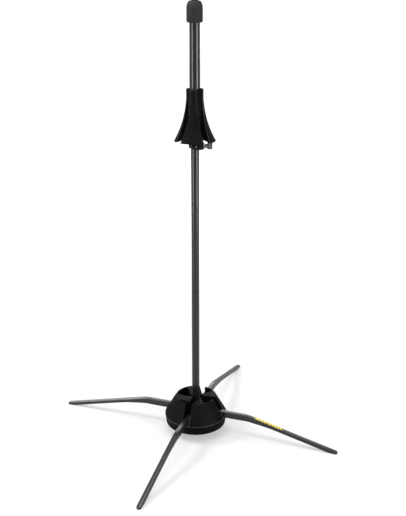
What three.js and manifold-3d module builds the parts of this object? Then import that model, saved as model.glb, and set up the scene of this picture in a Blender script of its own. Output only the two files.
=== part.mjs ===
// A free-standing, in-bell stand for a brass instrument.
// Four channel legs fold up out of slots in a conical hub. A telescopic stem rises from the hub and carries a
// lobed cone, on which the instrument's bell rests, and a rubber tip that steadies the bell from inside.
// Units are millimetres and +Z is up. The floor is z = 0, the stem's axis is x = y = 0, and leg 1
// points along +X.
import * as THREE from "three";
import { mergeVertices } from "three/addons/utils/BufferGeometryUtils.js";
import Module from "manifold-3d";

const wasm = await Module();
wasm.setup();

// ---------------------------------------------------------------- driving dimensions

const GAP = 0.3; // clearance kept between pieces that touch
const PAST = 2; // how far a cutting tool runs past the face that it cuts

const LOWER_TUBE = { radius: 6.35, wall: 1.2, top: 600 };
const UPPER_TUBE = { radius: 8, wall: 1, bottom: 491.7, top: 697 };
const UPPER_TURN = THREE.MathUtils.degToRad(11); // how far the upper stem is turned on the lower one
const CLAMP_TURN = THREE.MathUtils.degToRad(15); // how far the clamp is turned on the upper stem

const HUB = { bottom: 14.6, seam: 30.6, top: 62.5, bottomRadius: 50.3, seamRadius: 52.6, topRadius: 34.4 };
const HUB_WALL = 3;
const FUNNEL_DROP = 2.4; // how far the hub's top face dips from its rim to the central well
const WELL_RADIUS = 11.5;
const CORE_DISC = { radius: 17.5, top: 38 }; // the web that joins the hub cover's four quadrants
const SLOT_WIDTH = 11;
const LUG_TOP = 46; // top of the pivot lug between each slot and the pocket beside it

const LEG = {
  width: 7.6,
  bottom: 31, // height of the level stretch's lower edge, which rests on the hub base
  height: 10.6,
  wall: 1.5,
  bend: 91.5, // where the leg bends down, from the stem's axis
  slope: 0.247, // fall of the sloping stretch for each unit outwards
  tip: 247,
  tipHeight: 6,
};
const PIVOT = { x: 24, z: LEG.bottom + LEG.height / 2 };
const PIVOT_BOLT_RADIUS = 2.5;

const SUPPORT = {
  bottom: 501.1,
  top: 580,
  flareTop: 565, // the straight sleeve starts here
  hollowTop: 538, // how far up the lobes are hollow
  sleeveRadius: 13.1,
  rimRadius: 32,
  coreRadius: 10.9,
  grooveHalf: 5.3, // half the width of the groove between two lobes
  wall: 2.8,
};

const CLAMP = { bottom: 490, top: 500.5, radius: 9.6, screwY: -11.9, screwZ: 494.7, split: 2.2 };
const CLAMP_SCREW_RADIUS = 2;
const NUT_EAR = { end: -7, radius: 4.8 };
const SCREW_EAR = { end: 12, radius: 6, round: 2.2 };

const CAP = { bottom: 675.4, top: 706.4, radius: 12.1, holeRadius: 5.6 };

// ---------------------------------------------------------------- geometry helpers

// A closed three.js geometry as a manifold-3d solid.
function solid(geometry) {
  const bare = geometry.index ? geometry.toNonIndexed() : geometry.clone();
  bare.deleteAttribute("normal");
  bare.deleteAttribute("uv");
  const merged = mergeVertices(bare, 1e-4);
  const vertProperties = new Float32Array(merged.attributes.position.array);
  const triVerts = new Uint32Array(merged.index.array);
  return new wasm.Manifold(new wasm.Mesh({ numProp: 3, vertProperties, triVerts }));
}

// A manifold-3d solid as a three.js geometry.
function geometryOf(made) {
  const mesh = made.getMesh();
  const positions = new Float32Array(mesh.numVert * 3);
  for (let i = 0; i < mesh.numVert; i++) {
    positions.set(mesh.vertProperties.subarray(i * mesh.numProp, i * mesh.numProp + 3), i * 3);
  }
  const flat = new THREE.BufferGeometry()
    .setAttribute("position", new THREE.BufferAttribute(positions, 3))
    .setIndex(new THREE.BufferAttribute(new Uint32Array(mesh.triVerts), 1))
    .toNonIndexed();
  flat.computeVertexNormals();
  return flat;
}

function cut(body, ...tools) {
  return tools.reduce((left, tool) => left.subtract(tool), body);
}

function join(first, ...others) {
  return others.reduce((sum, next) => sum.add(next), first);
}

// A solid of revolution about Z. The profile holds [radius, z] pairs, anticlockwise.
function turned(profile, segments = 48) {
  const onAxis = profile.some(([radius]) => radius === 0);
  const points = profile.map(([radius, z]) => new THREE.Vector2(radius, z));
  if (!onAxis) points.push(points[0].clone());
  return solid(new THREE.LatheGeometry(points, segments).rotateX(Math.PI / 2));
}

function disc(radius, low, high, segments = 48) {
  return turned([[0, low], [radius, low], [radius, high], [0, high]], segments);
}

function ring(inner, outer, low, high, segments = 48) {
  return turned([[inner, low], [outer, low], [outer, high], [inner, high]], segments);
}

// An upright block between two corners.
function block([x0, y0, z0], [x1, y1, z1]) {
  const box = new THREE.BoxGeometry(x1 - x0, y1 - y0, z1 - z0);
  return solid(box.translate((x0 + x1) / 2, (y0 + y1) / 2, (z0 + z1) / 2));
}

// A flat outline raised from z = low to z = high.
function raised(outline, low, high, curveSegments = 6) {
  const options = { depth: high - low, bevelEnabled: false, curveSegments };
  return solid(new THREE.ExtrudeGeometry(outline, options).translate(0, 0, low));
}

// An outline drawn in the XZ plane, made thickness wide and centred on y = 0.
function upright(outline, thickness, curveSegments = 6) {
  const options = { depth: thickness, bevelEnabled: false, curveSegments };
  const made = new THREE.ExtrudeGeometry(outline, options);
  return solid(made.translate(0, 0, -thickness / 2).rotateX(Math.PI / 2));
}

const AXES = { x: [0, Math.PI / 2, 0], y: [-Math.PI / 2, 0, 0], z: [0, 0, 0] };

// Lays a solid made along Z along another axis, and moves it to a point.
function placed(made, axis, [x, y, z]) {
  const turn = new THREE.Matrix4().makeRotationFromEuler(new THREE.Euler(...AXES[axis]));
  turn.setPosition(x, y, z);
  return made.transform(turn.elements);
}

// A quarter-turn copy of a solid, about Z.
function quarterTurned(made, quarters) {
  return made.transform(turnedBy((quarters * Math.PI) / 2));
}

const turnedBy = (angle) => new THREE.Matrix4().makeRotationZ(angle).elements;

// The same tool at each of the four legs.
function atEachLeg(tool) {
  return [0, 1, 2, 3].map((quarters) => quarterTurned(tool, quarters));
}

function regularPolygon(radius, sides) {
  const outline = new THREE.Shape();
  for (let i = 0; i < sides; i++) {
    const angle = (i / sides) * 2 * Math.PI;
    const point = [radius * Math.cos(angle), radius * Math.sin(angle)];
    if (i === 0) outline.moveTo(...point);
    else outline.lineTo(...point);
  }
  return outline.closePath();
}

// ---------------------------------------------------------------- finishes

function finish(color, roughness, metalness) {
  return new THREE.MeshStandardMaterial({ color, roughness, metalness });
}

const FINISHES = {
  blackEnamel: finish(0x2b2f31, 0.3, 0.6),
  hubPlastic: finish(0x16161a, 0.75, 0),
  flocking: finish(0x1b1b1c, 0.95, 0),
  rubber: finish(0x38393b, 0.85, 0),
  clampPlastic: finish(0x1a1b1c, 0.5, 0),
  greyPlastic: finish(0x66696b, 0.5, 0),
  steel: finish(0xa9adb0, 0.3, 0.9),
  nylon: finish(0xd8d8d2, 0.6, 0),
  blackNylon: finish(0x262626, 0.5, 0),
  label: finish(0xe8c81a, 0.5, 0),
};

const stand = new THREE.Group();
const upperStem = new THREE.Group();
upperStem.rotation.z = UPPER_TURN;
stand.add(upperStem);
const clamp = new THREE.Group();
clamp.rotation.z = CLAMP_TURN;
upperStem.add(clamp);

function addPiece(name, made, material, parent = stand) {
  const mesh = new THREE.Mesh(geometryOf(made), material);
  mesh.name = name;
  parent.add(mesh);
  return mesh;
}

// ---------------------------------------------------------------- hub

// Radius of the hub cover's outer cone at height z.
const coneRadius = (z) =>
  HUB.topRadius + ((HUB.seamRadius - HUB.topRadius) * (HUB.top - z)) / (HUB.top - HUB.seam);

// A place for each joining screw that clears the slots and the pockets: [x, y] in the quadrant before leg 1.
const SCREW_SPOT = [19, -31];
const JOINING_SCREW = { radius: 1.7, headRadius: 3.6, headHeight: 2.6, top: 44 };
const SCREW_BOSS_RADIUS = 4.6;
const atScrew = (made) => placed(made, "z", [...SCREW_SPOT, 0]);

// The pocket beside a slot, in plan, seen with its leg along +X. It opens into the slot and into the well.
function pocketOutline() {
  const outline = new THREE.Shape();
  outline.moveTo(12, 0);
  outline.lineTo(12, -6);
  outline.lineTo(18.5, -16.5);
  outline.quadraticCurveTo(22, -21.5, 26.5, -18.5);
  outline.quadraticCurveTo(29.5, -16, 29.8, -10);
  outline.lineTo(29.8, 0);
  return outline.closePath();
}

function hubCover() {
  const low = HUB.seam + GAP;
  const cone = turned([
    [LOWER_TUBE.radius + GAP, low],
    [coneRadius(low), low],
    [coneRadius(HUB.top - 1), HUB.top - 1],
    [HUB.topRadius - 1, HUB.top],
    [WELL_RADIUS, HUB.top - FUNNEL_DROP],
    [WELL_RADIUS, CORE_DISC.top],
    [LOWER_TUBE.radius + GAP, CORE_DISC.top],
  ], 64);
  const half = SLOT_WIDTH / 2;
  const slot = join(
    block([CORE_DISC.radius, -half, low - PAST], [HUB.seamRadius + PAST, half, HUB.top + PAST]),
    block([LOWER_TUBE.radius + PAST, -half, CORE_DISC.top], [CORE_DISC.radius + PAST, half, HUB.top + PAST]),
  );
  const lug = block([12, -half - HUB_WALL, low], [32, -half, LUG_TOP]);
  const pocket = raised(pocketOutline(), low - PAST, HUB.top + PAST)
    .subtract(lug)
    .subtract(disc(CORE_DISC.radius, low - PAST * 2, CORE_DISC.top));
  const pivotHole = atPivot(disc(PIVOT_BOLT_RADIUS + GAP, -20, 20, 16));

  // The hollow under each quadrant leaves the outer wall, the slots' and pocket's walls, and a screw boss.
  const ceiling = HUB.top - FUNNEL_DROP - HUB_WALL;
  const bowl = turned([
    [CORE_DISC.radius + 1, low - PAST],
    [coneRadius(low) - HUB_WALL - 0.5, low - PAST],
    [coneRadius(low) - HUB_WALL - 0.5, low],
    [coneRadius(ceiling) - HUB_WALL - 0.5, ceiling],
    [CORE_DISC.radius + 1, ceiling],
  ], 64);
  const wallFace = half + HUB_WALL;
  const quadrant = block([wallFace, -60, low - PAST * 2], [60, -wallFace, HUB.top]);
  const pocketGuard = block([0, -23.5, low - PAST], [32.6, 0, HUB.top]);
  const boss = atScrew(disc(SCREW_BOSS_RADIUS, low - PAST, HUB.top, 24));
  const hollow = bowl.intersect(quadrant).subtract(pocketGuard).subtract(boss);
  // Room for the pivot bolt's head, on the side of the slot away from the pocket.
  const headRoom = block([PIVOT.x - 6, wallFace, low - PAST], [PIVOT.x + 6, wallFace + 6.5, LUG_TOP]);
  const screwHole = atScrew(disc(JOINING_SCREW.radius + GAP, low - PAST, JOINING_SCREW.top + 1, 12));
  return cut(cone, ...[slot, pocket, pivotHole, hollow, headRoom, screwHole].flatMap(atEachLeg));
}

function hubBase() {
  const deckBottom = HUB.seam - HUB_WALL;
  const shell = turned([
    [0, HUB.bottom + 1],
    [13, HUB.bottom + 1],
    [13, deckBottom],
    [HUB.seamRadius - HUB_WALL - 0.6, deckBottom],
    [HUB.bottomRadius - HUB_WALL, HUB.bottom],
    [HUB.bottomRadius - 1, HUB.bottom],
    [HUB.bottomRadius, HUB.bottom + 1],
    [HUB.seamRadius, HUB.seam - 0.8],
    [HUB.seamRadius - 0.8, HUB.seam],
    [0, HUB.seam],
  ], 64);
  const rib = block([10, -1.25, HUB.bottom + 4], [HUB.bottomRadius - 1.5, 1.25, deckBottom + 1]);
  const boss = atScrew(disc(SCREW_BOSS_RADIUS + 1, deckBottom - 3, deckBottom + 1, 24));
  const screwHole = atScrew(disc(JOINING_SCREW.radius + GAP, HUB.bottom, HUB.seam + PAST, 12));
  const socket = disc(LOWER_TUBE.radius + GAP, 24, HUB.seam + PAST);
  const boltHole = disc(3.3, HUB.bottom, 25, 16);
  const boltRecess = disc(8, HUB.bottom - PAST, 21, 24);
  return cut(
    join(shell, ...atEachLeg(rib), ...atEachLeg(boss)),
    socket,
    boltHole,
    boltRecess,
    ...atEachLeg(screwHole),
  );
}

// A pan-head screw along Z with its head at the bottom.
function joiningScrew() {
  const headTop = HUB.seam - HUB_WALL - 3 - GAP;
  const { radius, headRadius, headHeight, top } = JOINING_SCREW;
  const screw = turned([
    [0, headTop - headHeight],
    [headRadius - 1, headTop - headHeight],
    [headRadius, headTop - headHeight + 1],
    [headRadius, headTop],
    [radius, headTop],
    [radius, top - 1.5],
    [radius - 1, top],
    [0, top],
  ], 16);
  const slotDepth = headTop - headHeight + 1.2;
  const across = block([-2.2, -0.5, headTop - headHeight - PAST], [2.2, 0.5, slotDepth]);
  const along = block([-0.5, -2.2, headTop - headHeight - PAST], [0.5, 2.2, slotDepth]);
  return atScrew(cut(screw, across, along));
}

function lowerTube() {
  return ring(LOWER_TUBE.radius - LOWER_TUBE.wall, LOWER_TUBE.radius, 24.3, LOWER_TUBE.top, 40);
}

function stemPlug() {
  return ring(3.3, LOWER_TUBE.radius - LOWER_TUBE.wall - 0.2, 24.8, 44, 24);
}

function stemBolt() {
  const head = raised(regularPolygon(5.4, 6), 15.2, 19.2);
  return head.add(disc(3, 19, 42, 16));
}

function stemWasher() {
  return ring(3.3, 6.8, 19.5, 20.7, 24);
}

// ---------------------------------------------------------------- legs

// Height of a leg's top face at a distance x from the stem's axis. It is level up to the bend.
const legTop = (x) => LEG.bottom + LEG.height - LEG.slope * Math.max(0, x - LEG.bend);

// Pieces of a leg's pivot are made along Z and laid along Y at the pivot.
const atPivot = (made) => placed(made, "y", [PIVOT.x, 0, PIVOT.z]);

const BEND_REACH = 7; // the bend is rounded over this length on each side
const TAPER_END = 132; // where the channel reaches its outer depth
const TIP_NOSE = 3; // rounding at the tip's top edge

// A leg's side outline in X and Z, shrunk by inset at its top and ends. Where bottom is given, it runs down
// to z = bottom instead of following the leg's lower edge.
function legOutline(inset, bottom) {
  const outline = new THREE.Shape();
  const end = LEG.tip - inset;
  const heel = LEG.height / 2 - inset;
  const floorMeets = LEG.bend + (LEG.bottom + LEG.height - LEG.tipHeight) / LEG.slope;
  const level = LEG.bottom + LEG.height - inset;
  if (bottom === undefined) {
    outline.moveTo(LEG.bend - BEND_REACH, LEG.bottom);
    outline.lineTo(PIVOT.x, LEG.bottom);
  } else {
    outline.moveTo(end, bottom);
    outline.lineTo(PIVOT.x - heel, bottom);
    outline.lineTo(PIVOT.x - heel, PIVOT.z);
  }
  const startAngle = bottom === undefined ? -Math.PI / 2 : Math.PI;
  outline.absarc(PIVOT.x, PIVOT.z, heel, startAngle, Math.PI / 2, true);
  outline.lineTo(LEG.bend - BEND_REACH, level);
  outline.quadraticCurveTo(LEG.bend, level, LEG.bend + BEND_REACH, legTop(LEG.bend + BEND_REACH) - inset);
  outline.lineTo(end - TIP_NOSE, legTop(end - TIP_NOSE) - inset);
  if (bottom === undefined) {
    outline.quadraticCurveTo(end, legTop(end) - inset, end, 0.6);
    outline.lineTo(end - 0.6, 0);
    outline.lineTo(floorMeets, 0);
    outline.lineTo(TAPER_END, legTop(TAPER_END) - LEG.tipHeight - 0.8);
    outline.quadraticCurveTo(LEG.bend + 12, LEG.bottom - 0.6, LEG.bend - BEND_REACH, LEG.bottom);
  }
  return outline.closePath();
}

// A leg is its side outline, trimmed to a strip with a round tip. The channel's inside is cut from below.
function leg() {
  const half = LEG.width / 2;
  const plan = new THREE.Shape();
  plan.moveTo(0, -half);
  plan.lineTo(LEG.tip - half, -half);
  plan.absarc(LEG.tip - half, 0, half, -Math.PI / 2, Math.PI / 2, false);
  plan.lineTo(0, half);
  plan.closePath();
  const body = upright(legOutline(0), LEG.width + PAST).intersect(raised(plan, -PAST, 60, 10));
  const inside = upright(legOutline(LEG.wall, -PAST), LEG.width - 2 * LEG.wall);
  const tipSolid = block([LEG.tip - 9, -half, -PAST * 2], [LEG.tip + PAST, half, 60]);
  const pivotHole = atPivot(disc(PIVOT_BOLT_RADIUS + GAP, -half - PAST, half + PAST, 16));
  return cut(body, inside.subtract(tipSolid), pivotHole);
}

const WASHER = { outer: 5.2, inner: LEG.width / 2 + 0.15, thickness: 1.4 };

function frictionWasher(side) {
  const near = side > 0 ? WASHER.inner : -WASHER.inner - WASHER.thickness;
  return atPivot(ring(PIVOT_BOLT_RADIUS + GAP, WASHER.outer, near, near + WASHER.thickness, 20));
}

function pivotBush() {
  const half = LEG.width / 2 - LEG.wall - 0.1;
  return atPivot(ring(PIVOT_BOLT_RADIUS + GAP, 3.7, -half, half, 16));
}

function pivotBolt() {
  const seat = SLOT_WIDTH / 2 + HUB_WALL + GAP;
  const shank = disc(PIVOT_BOLT_RADIUS, -seat - 4.8, seat + 1, 16);
  const head = turned([
    [0, seat],
    [4.4, seat],
    [4.4, seat + 2],
    [3.4, seat + 3],
    [0, seat + 3],
  ], 16);
  const driveSlot = block([-3.4, -0.5, seat + 1.9], [3.4, 0.5, seat + 5]);
  return atPivot(shank.add(head).subtract(driveSlot));
}

function pivotNut() {
  const seat = SLOT_WIDTH / 2 + HUB_WALL + GAP;
  const hexagon = raised(regularPolygon(4.6, 6), -seat - 4, -seat);
  return atPivot(hexagon.subtract(disc(PIVOT_BOLT_RADIUS + 0.15, -seat - 6, 0, 16)));
}

// ---------------------------------------------------------------- upper stem

function upperTube() {
  const { radius, wall, bottom, top } = UPPER_TUBE;
  const tube = ring(radius - wall, radius, bottom, top, 40);
  const squeezeSlot = block([-0.8, -20, bottom - PAST], [0.8, 0, bottom + 24]);
  return tube.subtract(squeezeSlot.transform(turnedBy(CLAMP_TURN)));
}

// The nylon sleeve between the two tubes, with a flange under the upper tube's end.
function clampBush() {
  const inner = LOWER_TUBE.radius + 0.1;
  const outer = UPPER_TUBE.radius - UPPER_TUBE.wall - 0.1;
  const { bottom } = UPPER_TUBE;
  return turned([
    [inner, bottom - 1.5],
    [UPPER_TUBE.radius, bottom - 1.5],
    [UPPER_TUBE.radius, bottom - 0.3],
    [outer, bottom - 0.3],
    [outer, bottom + 30],
    [inner, bottom + 30],
  ], 40);
}

// The plug in the lower tube's top end, whose head glides in the upper tube.
function glidePlug() {
  const { radius, wall, top } = LOWER_TUBE;
  const bore = radius - wall;
  return turned([
    [0, top - 14],
    [bore - 0.7, top - 14],
    [bore - 0.15, top - 12],
    [bore - 0.15, top + 0.2],
    [UPPER_TUBE.radius - UPPER_TUBE.wall - 0.15, top + 0.2],
    [UPPER_TUBE.radius - UPPER_TUBE.wall - 0.15, top + 3],
    [bore, top + 4],
    [0, top + 4],
  ], 24);
}

const FLARE_STEPS = 12;

// Radius of the bell support's outer face at height z: a straight sleeve that flares like a bell to its rim.
function supportRadius(z) {
  const { bottom, flareTop, sleeveRadius, rimRadius } = SUPPORT;
  const share = Math.max(0, (flareTop - z) / (flareTop - bottom));
  return sleeveRadius + (rimRadius - sleeveRadius) * (0.3 * share + 0.7 * share ** 2.3);
}

// A lobed cone: a flared body of revolution with four straight-sided grooves, hollow under each lobe.
function bellSupport() {
  const { bottom, top, hollowTop, coreRadius, grooveHalf, wall } = SUPPORT;
  const bore = UPPER_TUBE.radius + GAP;
  const flare = [];
  for (let i = 0; i <= FLARE_STEPS; i++) {
    const z = bottom + 1.5 + ((top - 1.5 - bottom - 1.5) * i) / FLARE_STEPS;
    flare.push([supportRadius(z), z]);
  }
  const body = turned([
    [bore, bottom],
    [supportRadius(bottom) - 1.5, bottom],
    ...flare,
    [SUPPORT.sleeveRadius - 1.2, top],
    [bore, top],
  ], 56);
  const inside = [];
  for (let i = 0; i <= 4; i++) {
    const z = bottom - PAST + ((hollowTop - bottom + PAST) * i) / 4;
    inside.push([supportRadius(Math.max(z, bottom)) - wall, z]);
  }
  const hollow = turned([[coreRadius, bottom - PAST], ...inside, [coreRadius, hollowTop]], 40);
  const groove = (half) =>
    join(...[45, 135, 225, 315].map((degrees) =>
      block([0, -half, bottom - PAST * 2], [50, half, top + PAST])
        .transform(turnedBy(THREE.MathUtils.degToRad(degrees))),
    ));
  const core = disc(coreRadius, bottom - PAST * 2, top + PAST * 2, 32);
  // The lobes' lower ends rise towards the stem.
  const rise = turned([
    [coreRadius, bottom - 4],
    [SUPPORT.rimRadius + PAST, bottom - 4],
    [SUPPORT.rimRadius - 1.2, bottom],
    [18, bottom + 2],
    [coreRadius, bottom + 2.4],
  ], 40);
  const hollows = hollow.subtract(groove(grooveHalf + wall));
  return cut(body, groove(grooveHalf).subtract(core), hollows, rise);
}

// Pieces on the clamp's screw are made along Z and laid along X.
const alongScrew = (made) => placed(made, "x", [0, CLAMP.screwY, CLAMP.screwZ]);

function screwEar() {
  const { end, radius, round } = SCREW_EAR;
  const profile = [[0, 0], [radius, 0]];
  for (const degrees of [0, 30, 60, 90]) {
    const angle = THREE.MathUtils.degToRad(degrees);
    profile.push([radius - round + round * Math.cos(angle), end - round + round * Math.sin(angle)]);
  }
  return turned([...profile, [0, end]], 24);
}

// A split collar that squeezes the upper tube's slotted end. Its two ears stand forward, along -Y.
function clampCollar() {
  const { bottom, top, radius, screwY, screwZ, split } = CLAMP;
  const bore = UPPER_TUBE.radius + GAP;
  const band = turned([
    [bore, bottom],
    [bore + 0.4, bottom],
    [radius, bottom + 1.8],
    [radius, top - 0.8],
    [radius - 0.8, top],
    [bore, top],
  ], 40);
  const ears = join(
    alongScrew(disc(NUT_EAR.radius, NUT_EAR.end, 0, 24)),
    alongScrew(screwEar()),
    block([NUT_EAR.end + 1, screwY, screwZ - 4.7], [0, -5, screwZ + 4.7]),
    block([0, screwY, screwZ - 4.9], [6, -5, screwZ + 4.9]),
  );
  const boreTool = disc(bore, bottom - 20, top + 20, 40);
  const nutPocket = alongScrew(raised(regularPolygon(4.3, 6), NUT_EAR.end - PAST, NUT_EAR.end + 3.6));
  const screwHole = alongScrew(disc(CLAMP_SCREW_RADIUS + GAP, -20, 20, 16));
  const gap = block([-split / 2, -40, bottom - 20], [split / 2, 0, top + 20]);
  return cut(join(band, ears), boreTool, nutPocket, screwHole, gap);
}

function clampNut() {
  const hexagon = raised(regularPolygon(4, 6), NUT_EAR.end + 0.2, NUT_EAR.end + 3.3);
  return alongScrew(hexagon.subtract(disc(CLAMP_SCREW_RADIUS + 0.15, -20, 0, 16)));
}

function clampWasher() {
  return alongScrew(ring(CLAMP_SCREW_RADIUS + 0.3, 4.2, SCREW_EAR.end + 0.3, SCREW_EAR.end + 1.1, 20));
}

const SCREW_HEAD = { start: 17.6, end: 25.4, reach: 5.2, halfThickness: 1.7, turn: 12, ribs: 4 };

// A thumb screw, made along Z: shank, waisted neck and a flat T-shaped head with ribbed ends.
function thumbScrew() {
  const seat = SCREW_EAR.end + 1.4;
  const shank = turned([
    [0, NUT_EAR.end + 0.5],
    [CLAMP_SCREW_RADIUS - 0.6, NUT_EAR.end + 0.5],
    [CLAMP_SCREW_RADIUS, NUT_EAR.end + 1.3],
    [CLAMP_SCREW_RADIUS, seat],
    [3.9, seat],
    [3.9, seat + 0.8],
    [2.8, seat + 2],
    [2.8, SCREW_HEAD.start - 1.6],
    [3.3, SCREW_HEAD.start],
    [3.1, SCREW_HEAD.start + 3.5],
    [1.8, SCREW_HEAD.end - 1],
    [0, SCREW_HEAD.end - 0.6],
  ], 20);
  const { start, end, reach } = SCREW_HEAD;
  const head = new THREE.Shape();
  head.moveTo(-2.6, start - 1.6);
  head.quadraticCurveTo(-2.9, start - 0.2, -reach, start + 0.2);
  head.lineTo(-reach, end - 1.2);
  head.quadraticCurveTo(-reach, end, -reach + 1.2, end);
  head.lineTo(reach - 1.2, end);
  head.quadraticCurveTo(reach, end, reach, end - 1.2);
  head.lineTo(reach, start + 0.2);
  head.quadraticCurveTo(2.9, start - 0.2, 2.6, start - 1.6);
  head.closePath();
  const blade = upright(head, 2 * SCREW_HEAD.halfThickness, 3);
  const pitch = (end - start - 1) / SCREW_HEAD.ribs;
  const valleys = [];
  for (let i = 0; i < SCREW_HEAD.ribs; i++) {
    const z = start + 0.6 + (i + 0.5) * pitch;
    for (const side of [-1, 1]) {
      valleys.push(block([side * reach - 0.4, -5, z - 0.35], [side * reach + 0.4, 5, z + 0.35]));
    }
  }
  const made = cut(join(shank, blade), ...valleys);
  return alongScrew(made.transform(turnedBy(THREE.MathUtils.degToRad(SCREW_HEAD.turn))));
}

// The rubber tip: a barrel with a domed shoulder, pushed over the tube's end and open on top for the plug.
function tipCap() {
  const { bottom, top, radius, holeRadius } = CAP;
  const bore = UPPER_TUBE.radius + GAP;
  const profile = [[bore, bottom], [radius - 3, bottom]];
  const edge = 3;
  for (const degrees of [30, 60, 90]) {
    const angle = THREE.MathUtils.degToRad(degrees);
    profile.push([radius - edge + edge * Math.sin(angle), bottom + edge - edge * Math.cos(angle)]);
  }
  const dome = { width: radius - 6.6, height: 11 };
  for (const degrees of [0, 20, 40, 60, 80]) {
    const angle = THREE.MathUtils.degToRad(degrees);
    profile.push([6.6 + dome.width * Math.cos(angle), top - dome.height + dome.height * Math.sin(angle)]);
  }
  const seat = UPPER_TUBE.top + GAP;
  profile.push([6.4, top], [holeRadius, top], [holeRadius, seat], [bore, seat]);
  return turned(profile, 40);
}

function tipPlug() {
  const bore = UPPER_TUBE.radius - UPPER_TUBE.wall - 0.15;
  return turned([
    [0, 681],
    [bore - 0.8, 681],
    [bore, 682.5],
    [bore, UPPER_TUBE.top - 0.5],
    [5.3, UPPER_TUBE.top - 0.5],
    [5.3, CAP.top + 0.9],
    [4.6, CAP.top + 1.6],
    [0, CAP.top + 1.6],
  ], 24);
}

// ---------------------------------------------------------------- assembly

addPiece("hub_cover", hubCover(), FINISHES.hubPlastic);
addPiece("hub_base", hubBase(), FINISHES.hubPlastic);
addPiece("lower_tube", lowerTube(), FINISHES.blackEnamel);
addPiece("stem_plug", stemPlug(), FINISHES.steel);
addPiece("stem_bolt", stemBolt(), FINISHES.steel);
addPiece("stem_washer", stemWasher(), FINISHES.steel);
addPiece("glide_plug", glidePlug(), FINISHES.nylon);

const LEG_PIECES = [
  ["leg", leg(), FINISHES.blackEnamel],
  ["leg_bush", pivotBush(), FINISHES.steel],
  ["pivot_bolt", pivotBolt(), FINISHES.steel],
  ["pivot_nut", pivotNut(), FINISHES.steel],
  ["friction_washer_left", frictionWasher(1), FINISHES.nylon],
  ["friction_washer_right", frictionWasher(-1), FINISHES.nylon],
  ["hub_screw", joiningScrew(), FINISHES.steel],
];
for (let quarters = 0; quarters < 4; quarters++) {
  for (const [name, made, material] of LEG_PIECES) {
    addPiece(`${name}_${quarters + 1}`, quarterTurned(made, quarters), material);
  }
}

// The label lies on the sloping top of leg 1.
const LABEL = { start: 104, length: 52, width: 5.4, thickness: 0.25 };
const labelBox = new THREE.BoxGeometry(LABEL.length, LABEL.width, LABEL.thickness);
const label = new THREE.Mesh(labelBox, FINISHES.label);
const labelMiddle = LABEL.start + LABEL.length / 2;
label.name = "leg_label";
label.rotation.y = Math.atan(LEG.slope);
label.position.set(labelMiddle, 0, legTop(labelMiddle) + LABEL.thickness / 2 + 0.12);
stand.add(label);

addPiece("clamp_bush", clampBush(), FINISHES.blackNylon, upperStem);
addPiece("upper_tube", upperTube(), FINISHES.blackEnamel, upperStem);
addPiece("bell_support", bellSupport(), FINISHES.flocking, upperStem);
addPiece("clamp_collar", clampCollar(), FINISHES.clampPlastic, clamp);
addPiece("clamp_nut", clampNut(), FINISHES.steel, clamp);
addPiece("clamp_washer", clampWasher(), FINISHES.steel, clamp);
addPiece("thumb_screw", thumbScrew(), FINISHES.greyPlastic, clamp);
addPiece("tip_cap", tipCap(), FINISHES.rubber, upperStem);
addPiece("tip_plug", tipPlug(), FINISHES.clampPlastic, upperStem);

export default stand;
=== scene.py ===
# %% [markdown]
# # A floor stand for a brass instrument
# Four folding legs carry a conical hub, and a telescopic stem rises from it. The instrument hangs bell down
# over the stem: a flocked, lobed cone carries the bell's throat and a rubber tip steadies it from inside.
# Each step below makes one piece or one finish. The first step loads the frame, which is the measured model
# that every piece has to sit on.

# %% Load the frame
import math

import bmesh
import bpy
from mathutils import Matrix, Vector


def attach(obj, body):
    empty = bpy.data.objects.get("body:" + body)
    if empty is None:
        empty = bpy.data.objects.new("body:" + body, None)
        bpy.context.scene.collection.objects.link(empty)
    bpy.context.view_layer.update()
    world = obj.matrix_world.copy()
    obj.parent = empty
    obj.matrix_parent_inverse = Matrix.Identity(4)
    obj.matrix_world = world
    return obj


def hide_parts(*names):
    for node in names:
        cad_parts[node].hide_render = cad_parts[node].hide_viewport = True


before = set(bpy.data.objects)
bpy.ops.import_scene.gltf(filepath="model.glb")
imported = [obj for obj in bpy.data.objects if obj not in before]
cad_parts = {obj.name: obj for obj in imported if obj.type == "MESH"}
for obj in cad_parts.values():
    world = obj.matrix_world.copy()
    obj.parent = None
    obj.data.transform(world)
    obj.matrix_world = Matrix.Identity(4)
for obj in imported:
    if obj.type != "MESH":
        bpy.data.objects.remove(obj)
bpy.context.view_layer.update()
MM = 0.001  # pieces are drawn in millimetres, and Blender's unit is the metre

# %% [markdown]
# ## Camera
# A short telephoto lens looks down at the stand from a little above its tip. The direction is given as a
# compass heading and a pitch, because those are the two angles that a tripod head has. The stand turns one
# leg to the right, one to the left, one towards the camera and one away from it.

# %% Camera
CAMERA_PLACE = Vector((0.4418, -1.1942, 0.7613))
CAMERA_HEADING = math.radians(109.75)
CAMERA_PITCH = math.radians(-19.507)
CAMERA_LENS = 58.65
STAND_MIDDLE = Vector((0, 0, 0.35))

camera = bpy.data.objects.new("camera", bpy.data.cameras.new("camera"))
camera.data.lens = CAMERA_LENS
camera.data.clip_start = 0.05
camera.location = CAMERA_PLACE
look = Vector((
    math.cos(CAMERA_HEADING) * math.cos(CAMERA_PITCH),
    math.sin(CAMERA_HEADING) * math.cos(CAMERA_PITCH),
    math.sin(CAMERA_PITCH),
))
camera.rotation_mode = "QUATERNION"
camera.rotation_quaternion = look.to_track_quat("-Z", "Y")
bpy.context.scene.collection.objects.link(camera)
bpy.context.scene.camera = camera
print("camera", round((CAMERA_PLACE - STAND_MIDDLE).length, 3), "m from the stand's middle")

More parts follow.
